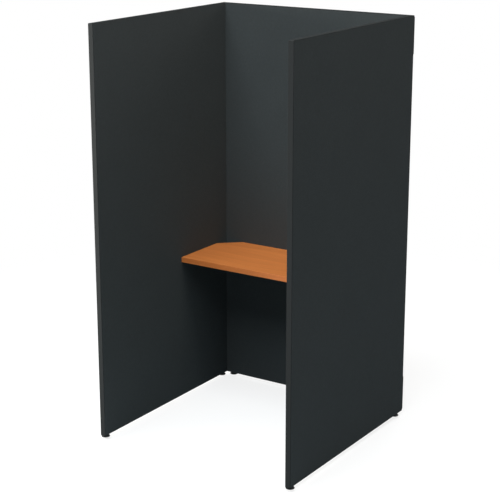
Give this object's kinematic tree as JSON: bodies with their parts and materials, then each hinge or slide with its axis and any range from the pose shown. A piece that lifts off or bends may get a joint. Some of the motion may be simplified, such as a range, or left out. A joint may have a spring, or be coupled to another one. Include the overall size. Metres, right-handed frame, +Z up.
{
  "type": "office work booth",
  "caption": "Free-standing office work booth: fabric-covered side and back panels round a desk with cut rear corners, on levelling feet.",
  "frame": {"origin": "on the floor, under the middle of the booth's overall box", "axes": "+Z up, +X to the right seen from the open front, the open front faces -Y"},
  "size_m": [1.013, 1.0066, 1.85],
  "materials": {
    "panel_fabric": "charcoal woven panel cloth, matt",
    "edge_trim": "charcoal powder coat, fine texture",
    "frame_tube": "grey paint on steel tube",
    "core_board": "plain kraft board",
    "connector_steel": "charcoal powder coat",
    "screw_steel": "black zinc",
    "desk_board": "bare particle board",
    "desk_laminate": "warm orange-brown wood laminate, satin",
    "desk_backing": "plain backing laminate",
    "desk_edge": "edge band in the laminate's colour",
    "insert_steel": "zinc plate",
    "foot_pad": "moulded black nylon",
    "stud_steel": "zinc plate"
  },
  "bodies": {
    "booth": {"left_panel_front_stile": "frame_tube", "left_panel_rear_stile": "frame_tube", "left_panel_top_rail": "frame_tube", "left_panel_desk_rail": "frame_tube", "left_panel_bottom_rail": "frame_tube", "left_panel_upper_core": "core_board", "left_panel_lower_core": "core_board", "left_panel_inner_skin": "panel_fabric", "left_panel_outer_skin": "panel_fabric", "left_panel_front_trim": "edge_trim", "left_panel_rear_trim": "edge_trim", "left_panel_top_trim": "edge_trim", "right_panel_front_stile": "frame_tube", "right_panel_rear_stile": "frame_tube", "right_panel_top_rail": "frame_tube", "right_panel_desk_rail": "frame_tube", "right_panel_bottom_rail": "frame_tube", "right_panel_upper_core": "core_board", "right_panel_lower_core": "core_board", "right_panel_inner_skin": "panel_fabric", "right_panel_outer_skin": "panel_fabric", "right_panel_front_trim": "edge_trim", "right_panel_rear_trim": "edge_trim", "right_panel_top_trim": "edge_trim", "back_panel_left_stile": "frame_tube", "back_panel_right_stile": "frame_tube", "back_panel_top_rail": "frame_tube", "back_panel_desk_rail": "frame_tube", "back_panel_bottom_rail": "frame_tube", "back_panel_upper_core": "core_board", "back_panel_lower_core": "core_board", "back_panel_front_skin": "panel_fabric", "back_panel_rear_skin": "panel_fabric", "back_panel_top_trim": "edge_trim", "corner_plate_left_top": "connector_steel", "corner_plate_left_bottom": "connector_steel", "corner_plate_right_top": "connector_steel", "corner_plate_right_bottom": "connector_steel", "corner_screws": "screw_steel", "desktop_core": "desk_board", "desktop_laminate": "desk_laminate", "desktop_backing": "desk_backing", "desktop_edge_band": "desk_edge", "desk_bracket_left": "connector_steel", "desk_bracket_right": "connector_steel", "desk_bracket_rear": "connector_steel", "desk_screws": "screw_steel", "foot_inserts": "insert_steel"},
    "pad_left_front": {"foot_pad_left_front": "foot_pad"},
    "stud_left_front": {"foot_stud_left_front": "stud_steel"},
    "pad_left_rear": {"foot_pad_left_rear": "foot_pad"},
    "stud_left_rear": {"foot_stud_left_rear": "stud_steel"},
    "pad_right_front": {"foot_pad_right_front": "foot_pad"},
    "stud_right_front": {"foot_stud_right_front": "stud_steel"},
    "pad_right_rear": {"foot_pad_right_rear": "foot_pad"},
    "stud_right_rear": {"foot_stud_right_rear": "stud_steel"},
    "pad_back_left": {"foot_pad_back_left": "foot_pad"},
    "stud_back_left": {"foot_stud_back_left": "stud_steel"},
    "pad_back_right": {"foot_pad_back_right": "foot_pad"},
    "stud_back_right": {"foot_stud_back_right": "stud_steel"}
  },
  "joints": [
    {"name": "left_front_foot_height", "type": "slide", "parent": "booth", "child": "pad_left_front", "axis": [0, 0, -1], "range_m": [-0.0025, 0.012]},
    {"name": "left_front_stud_turn", "type": "hinge", "parent": "pad_left_front", "child": "stud_left_front", "pos_m": [-0.4875, -0.48325, 0], "axis": [0, 0, -1], "range_deg": [-722, 3458]},
    {"name": "left_rear_foot_height", "type": "slide", "parent": "booth", "child": "pad_left_rear", "axis": [0, 0, -1], "range_m": [-0.0025, 0.012]},
    {"name": "left_rear_stud_turn", "type": "hinge", "parent": "pad_left_rear", "child": "stud_left_rear", "pos_m": [-0.4875, 0.44275, 0], "axis": [0, 0, -1], "range_deg": [-722, 3458]},
    {"name": "right_front_foot_height", "type": "slide", "parent": "booth", "child": "pad_right_front", "axis": [0, 0, -1], "range_m": [-0.0025, 0.012]},
    {"name": "right_front_stud_turn", "type": "hinge", "parent": "pad_right_front", "child": "stud_right_front", "pos_m": [0.4875, -0.48325, 0], "axis": [0, 0, -1], "range_deg": [-722, 3458]},
    {"name": "right_rear_foot_height", "type": "slide", "parent": "booth", "child": "pad_right_rear", "axis": [0, 0, -1], "range_m": [-0.0025, 0.012]},
    {"name": "right_rear_stud_turn", "type": "hinge", "parent": "pad_right_rear", "child": "stud_right_rear", "pos_m": [0.4875, 0.44275, 0], "axis": [0, 0, -1], "range_deg": [-722, 3458]},
    {"name": "back_left_foot_height", "type": "slide", "parent": "booth", "child": "pad_back_left", "axis": [0, 0, -1], "range_m": [-0.0025, 0.012]},
    {"name": "back_left_stud_turn", "type": "hinge", "parent": "pad_back_left", "child": "stud_back_left", "pos_m": [-0.441, 0.48425, 0], "axis": [0, 0, -1], "range_deg": [-722, 3458]},
    {"name": "back_right_foot_height", "type": "slide", "parent": "booth", "child": "pad_back_right", "axis": [0, 0, -1], "range_m": [-0.0025, 0.012]},
    {"name": "back_right_stud_turn", "type": "hinge", "parent": "pad_back_right", "child": "stud_back_right", "pos_m": [0.441, 0.48425, 0], "axis": [0, 0, -1], "range_deg": [-722, 3458]}
  ],
  "couplings": [
    {"joint": "left_front_stud_turn", "follows": "left_front_foot_height", "rad_per_m": 5026.5},
    {"joint": "left_rear_stud_turn", "follows": "left_rear_foot_height", "rad_per_m": 5026.5},
    {"joint": "right_front_stud_turn", "follows": "right_front_foot_height", "rad_per_m": 5026.5},
    {"joint": "right_rear_stud_turn", "follows": "right_rear_foot_height", "rad_per_m": 5026.5},
    {"joint": "back_left_stud_turn", "follows": "back_left_foot_height", "rad_per_m": 5026.5},
    {"joint": "back_right_stud_turn", "follows": "back_right_foot_height", "rad_per_m": 5026.5}
  ]
}
